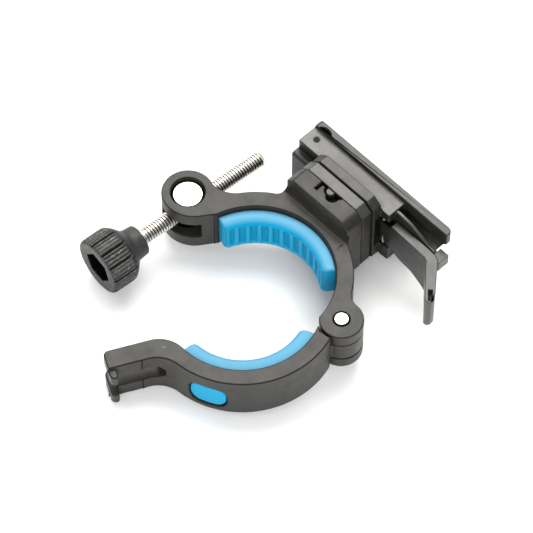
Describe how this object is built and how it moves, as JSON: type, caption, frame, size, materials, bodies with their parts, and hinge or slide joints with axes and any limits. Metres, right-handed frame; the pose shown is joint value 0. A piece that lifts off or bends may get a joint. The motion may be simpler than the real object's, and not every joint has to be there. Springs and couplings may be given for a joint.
{
  "type": "bicycle light handlebar mount",
  "caption": "Hinged handlebar clamp with rubber-lined arms, swinging hand screw, and a swivelling slide rail with a sprung release lever for a bicycle light.",
  "frame": {"origin": "centre of the handlebar, on the mid-plane of the clamp arms", "axes": "+Z along the handlebar's axis, +X the way the light shines, +Y from the handlebar towards the slide rail"},
  "size_m": [0.0685, 0.0808, 0.0226],
  "materials": {
    "arm_plastic": "satin glass-filled nylon with a fine texture",
    "bracket_plastic": "matte moulded plastic with a fine spark texture",
    "knob_plastic": "matte moulded plastic, lightly scuffed on its ribs",
    "pad_rubber": "soft satin rubber",
    "screw_steel": "bright zinc-plated",
    "nut_steel": "bright turned faces"
  },
  "bodies": {
    "root": {"upper_arm": "arm_plastic", "upper_pad": "pad_rubber", "pivot_pin": "nut_steel", "swivel_base": "arm_plastic", "swivel_bolt": "screw_steel", "flat_washer": "screw_steel", "spring_washer": "screw_steel", "swivel_nut": "screw_steel"},
    "lower": {"lower_arm": "arm_plastic", "lower_pad": "pad_rubber"},
    "nut": {"barrel_nut": "nut_steel"},
    "carrier": {"thrust_collar": "nut_steel"},
    "screw": {"clamp_bolt": "screw_steel", "knob": "knob_plastic"},
    "bracket": {"light_bracket": "bracket_plastic", "lever_pin": "screw_steel"},
    "lever": {"release_lever": "bracket_plastic"}
  },
  "joints": [
    {"name": "clamp_hinge", "type": "hinge", "parent": "root", "child": "lower", "pos_m": [0.0221, 0.00555, 0], "axis": [0, 0, 1], "range_deg": [-19.3, 95]},
    {"name": "screw_swing", "type": "hinge", "parent": "root", "child": "nut", "pos_m": [-0.0268, 0.0041, 0], "axis": [0, 0, 1], "range_deg": [-5, 55]},
    {"name": "screw_travel", "type": "slide", "parent": "nut", "child": "carrier", "axis": [-0.0811, -0.9967, 0], "range_m": [-0.0063, 0.019]},
    {"name": "screw_turn", "type": "hinge", "parent": "carrier", "child": "screw", "pos_m": [-0.0268, 0.0041, 0], "axis": [-0.0811, -0.9967, 0], "range_deg": [-3300, 9800]},
    {"name": "bracket_swivel", "type": "hinge", "parent": "root", "child": "bracket", "pos_m": [-0.00195, 0.0313, 0], "axis": [0, 1, 0], "range_deg": [-15, 15]},
    {"name": "release_lever_press", "type": "hinge", "parent": "bracket", "child": "lever", "pos_m": [0.0086, 0.03275, 0], "axis": [0, 0, -1], "range_deg": [0, 9], "stiffness_Nm_per_rad": 0.2, "springref_deg": -2.86}
  ],
  "couplings": [
    {"joint": "screw_turn", "follows": "screw_travel", "rad_per_m": 8976}
  ]
}
